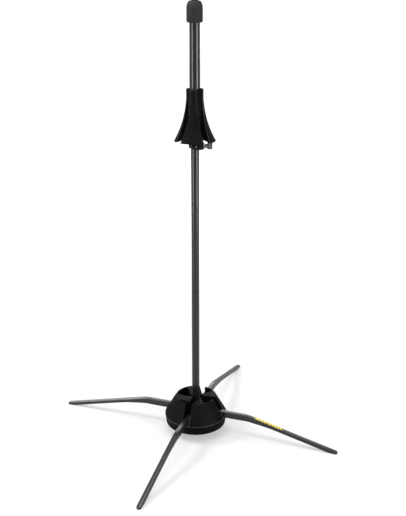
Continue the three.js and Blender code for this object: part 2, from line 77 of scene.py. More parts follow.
# %% [markdown]
# ## Helpers for making pieces
# Most pieces are turned or moulded. They could be modelled by hand from primitives, but a few helpers keep
# every size in one place and give the same result each time. `rounded` eases the corners of an outline,
# because no real edge is perfectly sharp and it is the eased edge that catches the light. `turned` spins an
# outline about the stem's axis, as a lathe does. `lofted` joins a row of outlines into one skin, which
# suits a piece whose section changes along its length. `carved` cuts or joins solids, and `piece` puts the
# result on one of the frame's bodies.


# %% Rounded outlines
def rounded(corners, steps=4):
    """Outline points for corners of (x, y, radius), going round a closed outline."""
    points = []
    for i, (x, y, radius) in enumerate(corners):
        here = Vector((x, y))
        before = Vector(corners[i - 1][:2]) - here
        after = Vector(corners[(i + 1) % len(corners)][:2]) - here
        if radius == 0:
            points.append((x, y))
            continue
        half = before.angle(after) / 2
        reach = radius / math.tan(half)
        start = here + before.normalized() * reach
        end = here + after.normalized() * reach
        centre = here + (before.normalized() + after.normalized()).normalized() * (radius / math.sin(half))
        sweep = (start - centre).angle_signed(end - centre)
        for step in range(steps + 1):
            arm = (start - centre).copy()
            arm.rotate(Matrix.Rotation(-sweep * step / steps, 2))
            points.append(tuple(centre + arm))
    return points


print("a rounded square has", len(rounded([(0, 0, 1), (9, 0, 1), (9, 9, 1), (0, 9, 1)])), "points")


# %% Turned and lofted skins
def turned(profile, segments=96, closed=True):
    """A skin spun about Z from (radius, z) points. A profile that meets the axis needs closed=False."""
    bm = bmesh.new()
    verts = [bm.verts.new((r, 0, z)) for r, z in profile]
    pairs = list(zip(verts, verts[1:] + verts[:1])) if closed else list(zip(verts, verts[1:]))
    edges = [bm.edges.new(pair) for pair in pairs]
    bmesh.ops.spin(bm, geom=verts + edges, axis=(0, 0, 1), cent=(0, 0, 0), angle=math.tau, steps=segments)
    bmesh.ops.remove_doubles(bm, verts=bm.verts, dist=1e-4)
    return bm


def lofted(loops):
    """A closed skin through loops of equally many (x, y, z) points, capped at both ends."""
    bm = bmesh.new()
    rows = [[bm.verts.new(point) for point in loop] for loop in loops]
    for low, high in zip(rows, rows[1:]):
        for i in range(len(low)):
            bm.faces.new((low[i - 1], low[i], high[i], high[i - 1]))
    bm.faces.new(rows[0])
    bm.faces.new(reversed(rows[-1]))
    return bm


def slab(outline, low, high):
    """An outline of (x, y) points raised from z = low to z = high."""
    return lofted([[(x, y, low) for x, y in outline], [(x, y, high) for x, y in outline]])


def box(low, high):
    """A block between two opposite corners."""
    (x0, y0, z0), (x1, y1, z1) = low, high
    return slab([(x0, y0), (x1, y0), (x1, y1), (x0, y1)], z0, z1)


def rod(radius, low, high, segments=32):
    """A round bar along Z."""
    return turned([(0, low), (radius, low), (radius, high), (0, high)], segments, closed=False)


# Laid along X, a skin's own X points down; laid along Y, its own Y points down.
ALONG = {"x": Matrix.Rotation(math.pi / 2, 4, "Y"), "y": Matrix.Rotation(-math.pi / 2, 4, "X")}


def moved(bm, matrix):
    """The same skin after a turn or a shift."""
    bm.transform(matrix)
    return bm


def about_z(degrees):
    return Matrix.Rotation(math.radians(degrees), 4, "Z")


print("a rod skin has", len(rod(1, 0, 1).faces), "faces")


# %% Cutting and joining
def facing_out(bm):
    """Turns every face outwards: they are made to agree, and turned over if the volume is negative."""
    bmesh.ops.recalc_face_normals(bm, faces=bm.faces)
    if bm.calc_volume(signed=True) < 0:
        bmesh.ops.reverse_faces(bm, faces=bm.faces)


def as_object(bm, name="work"):
    """Puts a skin in the scene, because modifiers work on objects."""
    facing_out(bm)
    mesh = bpy.data.meshes.new(name)
    bm.to_mesh(mesh)
    bm.free()
    made = bpy.data.objects.new(name, mesh)
    bpy.context.scene.collection.objects.link(made)
    return made


def baked(obj):
    """The object's mesh with its modifiers applied, as a bmesh. The object itself goes."""
    bpy.context.view_layer.update()
    final = obj.evaluated_get(bpy.context.evaluated_depsgraph_get()).to_mesh()
    bm = bmesh.new()
    bm.from_mesh(final)
    bpy.data.objects.remove(obj)
    return bm


WELD = 0.02  # points nearer than this, in millimetres, become one after a cut
SLIVER = 0.01  # edges and faces thinner than this are removed


def carved(body, tools, operation="DIFFERENCE", solver="EXACT"):
    """A body with each tool cut from it, or joined to it."""
    work = as_object(body)
    cutters = [as_object(tool) for tool in tools]
    for cutter in cutters:
        step = work.modifiers.new("cut", "BOOLEAN")
        step.operation = operation
        step.solver = solver
        step.object = cutter
    bm = baked(work)
    for cutter in cutters:
        bpy.data.objects.remove(cutter)
    bmesh.ops.remove_doubles(bm, verts=bm.verts, dist=WELD)
    bmesh.ops.dissolve_degenerate(bm, dist=SLIVER, edges=bm.edges)
    return bm


def eased(bm, width, angle=35, segments=2):
    """A skin whose sharp edges are bevelled by a small width."""
    work = as_object(bm)
    bevel = work.modifiers.new("ease", "BEVEL")
    bevel.width = width
    bevel.segments = segments
    bevel.limit_method = "ANGLE"
    bevel.angle_limit = math.radians(angle)
    bevel.harden_normals = False
    return baked(work)


print("a block with a hole has", len(carved(box((0, 0, 0), (9, 9, 9)), [rod(2, -1, 10)]).faces), "faces")


# %% Putting a piece on a body
NARROW = 0.75  # widest face, in millimetres, that counts as part of an eased edge
BEND = math.radians(18)  # least turn between two faces that counts as an outer edge


def paint_edge_highlight(bm):
    """Gives the narrow faces that turn round an outer edge the second, paler finish: a painted highlight
    along the edge.
    """
    for face in bm.faces:
        shared = [edge for edge in face.edges if len(edge.link_faces) == 2]
        bends = [edge for edge in shared if edge.calc_face_angle_signed(0) > BEND]
        longest = max(edge.calc_length() for edge in face.edges)
        if len(bends) > 1 and face.calc_area() < NARROW * longest:
            face.material_index = 1


def piece(name, bm, body, finish, replaced=(), sharp=40, edge_highlight=None):
    """Finishes a skin drawn in millimetres: shading, a material, a body, and the CAD nodes it stands for.

    Edges that turn by more than sharp degrees stay crisp. edge_highlight, if given, is the paler finish
    painted on the eased outer edges as a highlight.
    """
    facing_out(bm)
    # The narrow faces round the outer edges take the paler finish, which is a painted highlight.
    if edge_highlight:
        paint_edge_highlight(bm)
    for face in bm.faces:
        face.smooth = True
    for edge in bm.edges:
        edge.smooth = len(edge.link_faces) == 2 and edge.calc_face_angle(0) < math.radians(sharp)
    bmesh.ops.scale(bm, vec=(MM, MM, MM), verts=bm.verts)
    mesh = bpy.data.meshes.new(name)
    bm.to_mesh(mesh)
    bm.free()
    made = bpy.data.objects.new(name, mesh)
    made.data.materials.append(finish)
    if edge_highlight:
        made.data.materials.append(edge_highlight)
    bpy.context.scene.collection.objects.link(made)
    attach(made, body)
    if replaced:
        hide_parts(*replaced)
    print(name, len(mesh.polygons), "faces")
    return made


# %% [markdown]
# ## Finishes
# The stand is nearly all black, so what tells its surfaces apart is gloss and texture. Image textures could
# show that, but noise nodes need no files and fit a piece of any size. Every finish starts from the same
# recipe and differs in its numbers. A broad noise varies the colour a little, as handling and moulding do.
# A second noise varies how glossy the surface is. A fine third noise becomes a bump: the peel of sprayed
# enamel, the spark-eroded texture of a moulding, or the nap of flock. On the matt surfaces a last layer of
# tiny pale specks is dust. The eased edges of the hub and of the bell support get a second, much paler
# finish, which is a painted highlight along each edge.


# %% The finish recipe
BROAD_SCALE, PATCH_SCALE, SPECK_SCALE = 45, 130, 520  # features per metre, more or less


def noise_node(nodes, links, place, scale, detail=3.0):
    node = nodes.new("ShaderNodeTexNoise")
    node.inputs["Scale"].default_value = scale
    node.inputs["Detail"].default_value = detail
    links.new(place.outputs["Object"], node.inputs["Vector"])
    return node


def ramp(nodes, links, source, low, high, start, end):
    """A colour ramp from low to high between two values of a node's output."""
    node = nodes.new("ShaderNodeValToRGB")
    node.color_ramp.elements[0].position, node.color_ramp.elements[0].color = start, (*low, 1)
    node.color_ramp.elements[1].position, node.color_ramp.elements[1].color = end, (*high, 1)
    links.new(source, node.inputs["Fac"])
    return node


def spread(nodes, links, source, low, high):
    """Maps a noise, which stays between about 0.3 and 0.7, to the range from low to high."""
    node = nodes.new("ShaderNodeMapRange")
    node.inputs["From Min"].default_value = 0.3
    node.inputs["From Max"].default_value = 0.7
    node.inputs["To Min"].default_value = low
    node.inputs["To Max"].default_value = high
    links.new(source, node.inputs["Value"])
    return node


def finish(name, dark, light, rough, grain, bump, dust=0.0, **shader):
    """A procedural finish. Its colour varies from dark to light, and its roughness over the range rough.

    grain is the size of the bumps and bump is their height, in millimetres. dust is how pale the specks are.
    """
    material = bpy.data.materials.new(name)
    material.use_nodes = True
    nodes, links = material.node_tree.nodes, material.node_tree.links
    surface = nodes["Principled BSDF"]
    place = nodes.new("ShaderNodeTexCoord")
    broad = noise_node(nodes, links, place, BROAD_SCALE)
    colour = ramp(nodes, links, broad.outputs["Fac"], dark, light, 0.35, 0.65).outputs["Color"]
    if dust:
        specks = nodes.new("ShaderNodeTexVoronoi")
        specks.inputs["Scale"].default_value = SPECK_SCALE
        links.new(place.outputs["Object"], specks.inputs["Vector"])
        spot = ramp(nodes, links, specks.outputs["Distance"], (dust,) * 3, (0, 0, 0), 0.05, 0.16)
        both = nodes.new("ShaderNodeMix")
        both.data_type = "RGBA"
        both.blend_type = "ADD"
        both.inputs["Factor"].default_value = 1
        links.new(colour, both.inputs["A"])
        links.new(spot.outputs["Color"], both.inputs["B"])
        colour = both.outputs["Result"]
    links.new(colour, surface.inputs["Base Color"])
    patches = noise_node(nodes, links, place, PATCH_SCALE, 4)
    roughness = spread(nodes, links, patches.outputs["Fac"], *rough)
    links.new(roughness.outputs["Result"], surface.inputs["Roughness"])
    fine = noise_node(nodes, links, place, 1 / (grain * MM), 2)
    relief = nodes.new("ShaderNodeBump")
    relief.inputs["Strength"].default_value = 1
    relief.inputs["Distance"].default_value = bump * MM
    links.new(fine.outputs["Fac"], relief.inputs["Height"])
    links.new(relief.outputs["Normal"], surface.inputs["Normal"])
    for socket, value in shader.items():
        surface.inputs[socket.replace("_", " ")].default_value = value
    return material


# %% The finishes of this stand
enamel = finish("black_enamel", (0.0055, 0.0064, 0.007), (0.0078, 0.0088, 0.0095), (0.29, 0.305), 2.6, 0.0012,
                Coat_Weight=0.5, Coat_Roughness=0.16)
hub_plastic = finish("hub_plastic", (0.0025, 0.0022, 0.0026), (0.0045, 0.0041, 0.0046), (0.5, 0.64), 0.35,
                     0.05, dust=0.006, Specular_IOR_Level=0.07)
# A paler finish for the hub's eased edges: a painted highlight, not a colour of the moulding.
hub_edge_highlight = finish("hub_edge_highlight", (0.055, 0.055, 0.056), (0.09, 0.09, 0.092), (0.4, 0.55), 0.5, 0.02)
flock = finish("flock", (0.0045, 0.0045, 0.0046), (0.0075, 0.0075, 0.0075), (0.9, 1.0), 0.28, 0.1, dust=0.01,
               Sheen_Weight=0.03, Sheen_Roughness=0.4, Specular_IOR_Level=0.08)
# A paler finish for the bell support's eased edges: a painted highlight along each lobe edge.
flock_edge_highlight = finish("flock_edge_highlight", (0.045, 0.045, 0.046), (0.075, 0.075, 0.077), (0.85, 1.0), 0.28, 0.05,
                    Specular_IOR_Level=0.1)
rubber = finish("rubber", (0.017, 0.018, 0.0195), (0.023, 0.024, 0.0255), (0.72, 0.86), 0.4, 0.05, dust=0.008,
                Specular_IOR_Level=0.3)
clamp_plastic = finish("clamp_plastic", (0.004, 0.004, 0.0045), (0.0065, 0.0065, 0.007), (0.38, 0.5), 0.5,
                       0.03, Specular_IOR_Level=0.2)
grey_plastic = finish("grey_plastic", (0.060, 0.065, 0.068), (0.085, 0.09, 0.092), (0.42, 0.56), 0.4, 0.03)
zinc = finish("zinc_plate", (0.50, 0.51, 0.50), (0.66, 0.67, 0.66), (0.28, 0.42), 0.6, 0.01, Metallic=1.0)
nylon = finish("nylon", (0.52, 0.52, 0.49), (0.62, 0.62, 0.58), (0.45, 0.6), 0.6, 0.02)
black_nylon = finish("black_nylon", (0.012, 0.012, 0.012), (0.02, 0.02, 0.02), (0.45, 0.6), 0.6, 0.02)
made_here = (enamel, hub_plastic, hub_edge_highlight, flock, flock_edge_highlight, rubber, clamp_plastic, grey_plastic, zinc,
             nylon, black_nylon)
print("finishes:", ", ".join(material.name for material in made_here))

# %% [markdown]
# ## Hub base
# The base is a shallow round moulding that closes the hub from below. Its deck carries the legs when they
# are down. A cylinder with a hollow cut from it would do, but a spun outline gives the rim's slope and its
# eased corners at once. The outline of rim and deck is spun about the stem, the ribs and screw bosses are
# joined to it, and then the bolt recess, the four screw holes and the stem's socket are cut.

# %% Hub base
HUB = {"bottom": 14.6, "seam": 30.6, "top": 62.5, "bottom_r": 50.3, "seam_r": 52.6, "top_r": 34.4,
       "socket_r": 6.65}
DECK = {"low": 27.6, "boss_low": 24.6, "boss_r": 5.6, "hole_r": 2}
SCREW_SPOTS = [about_z(90 * k) @ Vector((19, -31, 0)) for k in range(4)]


def at(spot, bm):
    return moved(bm, Matrix.Translation((spot.x, spot.y, 0)))


def hub_base():
    outline = rounded([
        (0, 15.6, 0), (13, 15.6, 1), (13, DECK["low"], 1), (49, DECK["low"], 1.5), (47.3, HUB["bottom"], 0.8),
        (HUB["bottom_r"], HUB["bottom"], 0.9), (HUB["seam_r"], HUB["seam"], 0.9), (0, HUB["seam"], 0),
    ])
    dish = turned(outline, 128, closed=False)
    ribs = [moved(box((10, -1.25, 18.6), (48.6, 1.25, 28.6)), about_z(90 * k)) for k in range(4)]
    bosses = [at(spot, rod(DECK["boss_r"], DECK["boss_low"], 28.6)) for spot in SCREW_SPOTS]
    solid = carved(dish, ribs + bosses, "UNION")
    screw_holes = [at(spot, rod(DECK["hole_r"], 14, 33)) for spot in SCREW_SPOTS]
    stem_socket = rod(HUB["socket_r"], 24, 33, 48)
    bolt_hole = rod(3.3, 14, 25)
    bolt_recess = rod(8, 12, 21, 48)
    return carved(solid, [*screw_holes, stem_socket, bolt_hole, bolt_recess])


# The base's eased edges take the paler finish, a painted highlight.
piece("hub_base_moulding", hub_base(), "base", hub_plastic, ["hub_base"], edge_highlight=hub_edge_highlight)

# %% [markdown]
# ## Hub cover
# The cover is a cone with a slot for each leg. Beside each slot is a scooped pocket, which gives a finger
# or a screwdriver its way to the leg's pivot. The whole could be built face by face, but a mould maker also
# starts with the cone and sinks the rest, so the cone is turned and the slots and pockets are cut from it
# as solids. The cut edges are then eased: on a black moulding the pale line along each edge is most of what
# is seen.

# %% Hub cover
SLOT_HALF = 5.5
CORE_R = 11.5  # the hole round the stem, above the socket
SOCKET_TOP = 38
PIVOT = (24.0, 36.3)  # a leg's pivot: its distance from the stem's axis and its height
PIVOT_HOLE = 2.8


def cone_radius(z):
    return HUB["top_r"] + (HUB["seam_r"] - HUB["top_r"]) * (HUB["top"] - z) / (HUB["top"] - HUB["seam"])


def pocket_outline():
    """The pocket beside the slot of the leg along +X, seen from above."""
    curve = [(12, 0), (12, -6), (18.5, -16.5)]
    nose = ((18.5, -16.5), (22, -21.5), (26.5, -18.5))
    flank = ((26.5, -18.5), (29.5, -16), (29.8, -10))
    for start, handle, end in (nose, flank):
        for step in range(1, 9):
            t = step / 8
            curve.append(tuple(
                (1 - t) ** 2 * a + 2 * t * (1 - t) * b + t * t * c for a, b, c in zip(start, handle, end)
            ))
    return curve + [(29.8, 0)]


def hub_cover():
    low = HUB["seam"] + 0.3
    outline = [
        (HUB["socket_r"], low), (cone_radius(low), low), (cone_radius(61.6), 61.6), (34.1, 62.35),
        (33.3, HUB["top"]), (CORE_R, 60.1), (CORE_R, SOCKET_TOP), (HUB["socket_r"], SOCKET_TOP),
    ]
    cone = turned(outline, 96)
    to_pivot = Matrix.Translation((PIVOT[0], 0, PIVOT[1])) @ ALONG["y"]
    tools = []
    for k in range(4):
        turn = about_z(90 * k)
        lug = box((12, -8.5, low), (32, -SLOT_HALF, 46))
        disc = rod(17.5, 20, SOCKET_TOP, 48)
        pocket = carved(slab(pocket_outline(), 28, 66), [lug, disc])
        tools += [
            moved(box((17.5, -SLOT_HALF, 28), (56, SLOT_HALF, 66)), turn),
            moved(box((7, -SLOT_HALF, SOCKET_TOP), (19, SLOT_HALF, 66)), turn),
            moved(pocket, turn),
            moved(moved(rod(PIVOT_HOLE, -12, 12, 24), to_pivot), turn),
        ]
    return eased(carved(cone, tools), 0.4, 28)


# The cover's eased slot, pocket and rim edges take the paler finish, a painted highlight.
piece("hub_cover_moulding", hub_cover(), "base", hub_plastic, ["hub_cover"], sharp=30,
      edge_highlight=hub_edge_highlight)

# %% [markdown]
# ## Legs
# Each leg is a steel strip pressed into a channel, open below, bent down beyond the hub and closed at its
# tip. A box bent by a modifier would keep one section all the way, and this one tapers, so it is lofted: a
# rounded-top section is drawn at each station and the stations are skinned. A second, smaller loft is cut
# out from below to leave the channel's thin walls.

# %% Leg sections
LEG = {"half": 3.8, "bottom": 31.0, "height": 10.6, "wall": 1.4, "bend": 91.5, "tip": 247.0, "slope": 0.247,
       "depth": 6.0}
HOLLOW = {"heel": PIVOT[0] - 4, "tip": LEG["tip"] - 8}  # the channel is solid beyond these two places


def blend(a, b, t):
    t = min(max(t, 0), 1)
    return a + (b - a) * t * t * (3 - 2 * t)


def leg_top(x):
    """Height of the leg's top face: level, a rounded bend, then a straight slope."""
    level = LEG["bottom"] + LEG["height"]
    past = x - LEG["bend"]
    if past < -7:
        return level
    if past < 7:
        return level - LEG["slope"] * (past + 7) ** 2 / 28
    return level - LEG["slope"] * past


def leg_bottom(x):
    """Height of the leg's lower edge: it closes on the top face past the bend and ends flat on the floor."""
    depth = blend(LEG["height"], LEG["depth"], (x - LEG["bend"] + 14) / 62)
    return max(leg_top(x) - depth, 0)


def leg_section(x, half, low, high, radius):
    """A section with two rounded top corners, as (x, y, z) points."""
    radius = min(radius, half * 0.9, (high - low) * 0.8)
    small = min(0.3, half * 0.3, (high - low) * 0.15)
    corners = [(-half, low, small), (half, low, small), (half, high, radius), (-half, high, radius)]
    return [(x, y, z) for y, z in rounded(corners, 5)]


def leg_stations():
    """(x, half width, low, high) from the heel to the tip."""
    heel = LEG["height"] / 2
    for step in range(1, 9):
        angle = math.pi / 2 * step / 8
        reach = heel * math.sin(angle)
        yield PIVOT[0] - heel * math.cos(angle), LEG["half"], PIVOT[1] - reach, PIVOT[1] + reach
    level = [30, 45, 60, 72]
    bend = [78 + 2.5 * i for i in range(13)]
    slope = [116, 124, 132, 145, 160, 180, 200, 220, 232, 240]
    for x in level + bend + slope:
        yield x, LEG["half"], leg_bottom(x), leg_top(x)
    for step in range(0, 9):
        angle = math.pi / 2 * step / 8.4
        x = LEG["tip"] - LEG["half"] + LEG["half"] * math.sin(angle)
        nose = 2.2 * (1 - math.cos(angle))
        yield x, LEG["half"] * math.cos(angle), 0.25 * step / 8, leg_top(x) - nose


print("leg top at its bend and tip:", round(leg_top(LEG["bend"]), 2), round(leg_top(LEG["tip"]), 2), "mm")


# %% Leg
def leg():
    outer = lofted([leg_section(x, half, low, high, 1.5) for x, half, low, high in leg_stations()])
    wall = LEG["wall"]
    inner = []
    for x, half, low, high in leg_stations():
        if HOLLOW["heel"] < x < HOLLOW["tip"]:
            inner.append(leg_section(x, half - wall, low - 4, high - wall, 0.6))
    hole = moved(rod(PIVOT_HOLE, -6, 6, 32), Matrix.Translation((PIVOT[0], 0, PIVOT[1])) @ ALONG["y"])
    return carved(outer, [lofted(inner), hole])


for k in range(4):
    skin = moved(leg(), about_z(90 * k))
    piece(f"leg_channel_{k + 1}", skin, f"leg_{k + 1}", enamel, [f"leg_{k + 1}"], sharp=32)

# %% [markdown]
# ## Leg label
# One leg wears a small printed strip. It carries a plain row of yellow bars inside a thin frame, which says
# nothing and belongs to nobody. Raised bars would catch the light as print does not, so the material draws
# them from the strip's own length and width, and the strip stays one thin sheet of vinyl with rounded
# corners.

# %% Leg label
LABEL = {"start": 104.0, "length": 52.0, "half": 2.7, "thick": 0.25}
BARS = {"pitch": 4.6, "gap": 0.3, "slant": 0.5, "reach": 22.5, "half": 1.75}  # gap is a share of the pitch
LINE = {"inner": (24.0, 2.15), "outer": (24.6, 2.5)}  # half length and half width of the frame's two outlines
VINYL, INK = (0.012, 0.012, 0.013), (0.9, 0.68, 0.02)


def label_finish():
    material = bpy.data.materials.new("leg_label")
    material.use_nodes = True
    nodes, links = material.node_tree.nodes, material.node_tree.links
    surface = nodes["Principled BSDF"]
    place = nodes.new("ShaderNodeTexCoord")
    split = nodes.new("ShaderNodeSeparateXYZ")
    links.new(place.outputs["Object"], split.inputs["Vector"])

    def maths(operation, first, second=0.0):
        node = nodes.new("ShaderNodeMath")
        node.operation = operation
        for socket, value in zip(node.inputs, (first, second)):
            if hasattr(value, "is_output"):
                links.new(value, socket)
            else:
                socket.default_value = value
        return node.outputs[0]

    def within(length, width):
        """1 where the strip's surface lies inside a half length and a half width, and 0 elsewhere."""
        near_middle = maths("LESS_THAN", along, length * MM)
        return maths("MULTIPLY", near_middle, maths("LESS_THAN", across, width * MM))

    middle = (LABEL["start"] + LABEL["length"] / 2) * MM
    along = maths("ABSOLUTE", maths("SUBTRACT", split.outputs["X"], middle))
    across = maths("ABSOLUTE", split.outputs["Y"])
    slanted = maths("ADD", split.outputs["X"], maths("MULTIPLY", split.outputs["Y"], BARS["slant"]))
    stripes = maths("FRACT", maths("DIVIDE", slanted, BARS["pitch"] * MM))
    bars = maths("MULTIPLY", maths("GREATER_THAN", stripes, BARS["gap"]), within(BARS["reach"], BARS["half"]))
    length, width = LINE["inner"]
    past_end = maths("GREATER_THAN", along, length * MM)
    past_line = maths("MAXIMUM", past_end, maths("GREATER_THAN", across, width * MM))
    ink = maths("MAXIMUM", bars, maths("MULTIPLY", past_line, within(*LINE["outer"])))
    mix = ramp(nodes, links, ink, VINYL, INK, 0.3, 0.7)
    links.new(mix.outputs["Color"], surface.inputs["Base Color"])
    patches = noise_node(nodes, links, place, 400)
    links.new(spread(nodes, links, patches.outputs["Fac"], 0.3, 0.45).outputs["Result"],
              surface.inputs["Roughness"])
    return material


def label_strip():
    half_length = LABEL["length"] / 2
    outline = rounded([
        (-half_length, -LABEL["half"], 1.2), (half_length, -LABEL["half"], 1.2),
        (half_length, LABEL["half"], 1.2), (-half_length, LABEL["half"], 1.2),
    ], 6)
    middle = LABEL["start"] + half_length
    tilt = Matrix.Rotation(math.atan(LEG["slope"]), 4, "Y")
    return moved(slab(outline, 0.05, LABEL["thick"]), Matrix.Translation((middle, 0, leg_top(middle))) @ tilt)


piece("leg_label_strip", label_strip(), "leg_1", label_finish(), ["leg_label"])

# %% [markdown]
# ## Stem
# Two steel tubes slide one inside the other. A plain cylinder would have a closed, knife-sharp end, so each
# tube is an outline of its wall, spun about the stem's axis, with the cut ends eased as a deburring tool
# leaves them. The upper tube's lower end has a saw slot, so that the clamp can squeeze it.

# %% Stem tubes
UPPER_TURN, CLAMP_TURN = 11, 26  # degrees that the bell support and the clamp are turned about the stem
LOWER_TUBE = (5.15, 6.35, 24.3, 600)  # inner and outer radius, lower and upper end
UPPER_TUBE = (7, 8, 491.7, 697)
SAW_HALF, SAW_TOP = 0.8, 515.7


def tube(inner, outer, low, high):
    return turned(rounded([(inner, low, 0.2), (outer, low, 0.4), (outer, high, 0.4), (inner, high, 0.2)]), 96)


def upper_tube():
    slot = moved(box((-SAW_HALF, -12, 488), (SAW_HALF, 0, SAW_TOP)), about_z(CLAMP_TURN))
    return carved(tube(*UPPER_TUBE), [slot])


piece("lower_tube_steel", tube(*LOWER_TUBE), "base", enamel, ["lower_tube"])
piece("upper_tube_steel", upper_tube(), "upper_stem", enamel, ["upper_tube"])

# %% [markdown]
# ## Clamp
# A split collar grips the upper tube's slotted end. It has an ear on each side of its split: a short one
# that holds the nut, and a longer one that the thumb screw presses on. Built as one mesh by hand it would
# be a puzzle of crossing rounds, so collar and ears are made as simple solids and joined, and the bore, the
# nut's pocket, the screw's hole and the split are cut from them.

# %% Clamp collar
SCREW_Y, SCREW_Z = -11.9, 494.7
TO_CLAMP = about_z(CLAMP_TURN)
TO_SCREW = TO_CLAMP @ Matrix.Translation((0, SCREW_Y, SCREW_Z)) @ ALONG["x"]
COLLAR = {"inner": 8.3, "outer": 9.6, "low": 490, "high": 500.5, "split_half": 1.1, "nut_r": 4.3,
          "hole_r": 2.3}


def hexagon(radius):
    return [(radius * math.cos(i * math.pi / 3), radius * math.sin(i * math.pi / 3)) for i in range(6)]


def clamp_collar():
    inner, outer, low, high = COLLAR["inner"], COLLAR["outer"], COLLAR["low"], COLLAR["high"]
    band = turned(rounded([(inner, low, 0.3), (outer, low, 0.5), (outer, high, 0.6), (inner, high, 0.3)]), 96)
    nut_ear = turned(rounded([(0, -7, 0), (4.8, -7, 0.8), (4.8, 0, 0), (0, 0, 0)]), 48, closed=False)
    screw_ear = turned(rounded([(0, 0, 0), (6, 0, 0), (6, 12, 2.2), (0, 12, 0)], 6), 48, closed=False)
    neck = moved(box((-6, SCREW_Y, 490.2), (5.5, -5, 499.4)), TO_CLAMP)
    joined = carved(band, [moved(nut_ear, TO_SCREW), moved(screw_ear, TO_SCREW), neck], "UNION")
    cuts = [
        rod(inner, low - 10, 510, 96),
        moved(slab(hexagon(COLLAR["nut_r"]), -12, -3.4), TO_SCREW),
        moved(rod(COLLAR["hole_r"], -14, 16), TO_SCREW),
        moved(box((-COLLAR["split_half"], -30, low - 10), (COLLAR["split_half"], 0, 510)), TO_CLAMP),
    ]
    return eased(carved(joined, cuts), 0.25, 40)


piece("clamp_collar_moulding", clamp_collar(), "upper_stem", clamp_plastic, ["clamp_collar"])

# %% [markdown]
# ## Thumb screw
# A steel screw is moulded into a small T-shaped plastic head. The neck is waisted, so that fingertips fit
# behind the head, and the head's two ends are ribbed for grip. A sculpted head would be harder to
# measure, so the shank and neck are turned, the blade is a raised outline joined to the neck, and shallow
# grooves are cut across its ends. The steel shank is a piece of its own, because it has its own finish.

# %% Thumb screw
HEAD = {"start": 17.6, "end": 25.4, "reach": 5.2, "half": 1.7, "ribs": 4, "turn": 12}
SHANK_R = 2
STAND_UP = Matrix(((1, 0, 0, 0), (0, 0, 1, 0), (0, 1, 0, 0), (0, 0, 0, 1)))  # swaps a skin's Y and Z


def head_outline():
    start, end, reach = HEAD["start"], HEAD["end"], HEAD["reach"]
    return rounded([
        (-2.6, start - 1.6, 0), (-3.2, start + 0.1, 0.6), (-reach, start + 0.2, 0.6), (-reach, end, 1.3),
        (reach, end, 1.3), (reach, start + 0.2, 0.6), (3.2, start + 0.1, 0.6), (2.6, start - 1.6, 0),
    ])


def thumb_screw_head():
    stem = turned([
        (0, 13.4), (3.5, 13.4), (3.9, 13.7), (3.9, 14.1), (3.3, 14.8), (2.8, 15.6), (2.8, 16.1), (3.0, 16.9),
        (3.3, 17.8), (3.25, 20), (3.0, 22), (2.4, 23.6), (1.2, 24.6), (0, 24.9),
    ], 48, closed=False)
    flat = slab(head_outline(), -HEAD["half"], HEAD["half"])
    blade = moved(flat, STAND_UP)
    solid = carved(eased(blade, 0.35, 50), [stem], "UNION")
    pitch = (HEAD["end"] - HEAD["start"] - 1) / HEAD["ribs"]
    grooves = []
    for i in range(HEAD["ribs"]):
        z = HEAD["start"] + 0.6 + (i + 0.5) * pitch
        for x in (-HEAD["reach"], HEAD["reach"]):
            grooves.append(box((x - 0.45, -5, z - 0.35), (x + 0.45, 5, z + 0.35)))
    return moved(moved(carved(solid, grooves), about_z(HEAD["turn"])), TO_SCREW)


def thumb_screw_shank():
    profile = [(0, -6.5), (1.4, -6.5), (SHANK_R, -5.7), (SHANK_R, 13.35), (0, 13.35)]
    return moved(turned(profile, 32, closed=False), TO_SCREW)


piece("thumb_screw_head", thumb_screw_head(), "thumb_screw", grey_plastic, ["thumb_screw"])
piece("thumb_screw_shank", thumb_screw_shank(), "thumb_screw", zinc)

# %% [markdown]
# ## Bell support
# The support is a cone that flares like the bell that rests on it, divided by four grooves into lobes. Each
# lobe is hollow below. Cutting four grooves from a turned cone would leave their corners sharp, and the eye
# goes straight to those. A section of it is a ring of four arcs joined by the grooves' flats, so it is
# lofted from such sections, with the corner of every lobe rounded. The hollows, the bore and the rising
# lower end are cut out.

# %% Bell support sections
SUPPORT = {
    "bottom": 501.1, "top": 580.0, "flare_top": 565, "hollow_top": 538,
    "sleeve_r": 13.1, "rim_r": 32.0, "core_r": 10.9, "hollow_r": 12.2, "bore": 8.3,
    "groove": 5.3, "wall": 2.8, "lip": 1.2,
}
LEVELS, HOLLOW_LEVELS = 40, 8  # steps of the outer loft and of a lobe's hollow


def support_radius(z):
    share = max(0, (SUPPORT["flare_top"] - z) / (SUPPORT["flare_top"] - SUPPORT["bottom"]))
    flare = 0.3 * share + 0.7 * share ** 2.3
    return SUPPORT["sleeve_r"] + (SUPPORT["rim_r"] - SUPPORT["sleeve_r"]) * flare


def lobe_corners(radius, inner, groove, corner, arcs=12):
    """Corners of one lobe's section with its middle along +X, from its lower flank round to its upper one."""
    def foot(r, side):
        angle = side * (math.pi / 4 - math.asin(groove / r))
        return r * math.cos(angle), r * math.sin(angle)

    edge = math.pi / 4 - math.asin(groove / radius)
    arc = []
    for i in range(1, arcs):
        angle = -edge + 2 * edge * i / arcs
        arc.append((radius * math.cos(angle), radius * math.sin(angle), 0))
    return [(*foot(inner, -1), 0), (*foot(radius, -1), corner), *arc, (*foot(radius, 1), corner),
            (*foot(inner, 1), 0)]


def support_loop(z, radius):
    """The whole section at height z: four lobes round the core."""
    corners = []
    for k in range(4):
        turn = Matrix.Rotation(math.radians(90 * k), 2)
        for x, y, corner in lobe_corners(radius, SUPPORT["core_r"], SUPPORT["groove"], 0.5):
            point = Vector((x, y)) @ turn.transposed()
            corners.append((point.x, point.y, corner))
        gap = Vector((SUPPORT["core_r"], 0))
        gap.rotate(Matrix.Rotation(math.radians(90 * k + 45), 2))
        corners.append((gap.x, gap.y, 0))
    return [(x, y, z) for x, y in rounded(corners, 3)]


print("bell support radius at its rim:", round(support_radius(SUPPORT["bottom"]), 2), "mm")


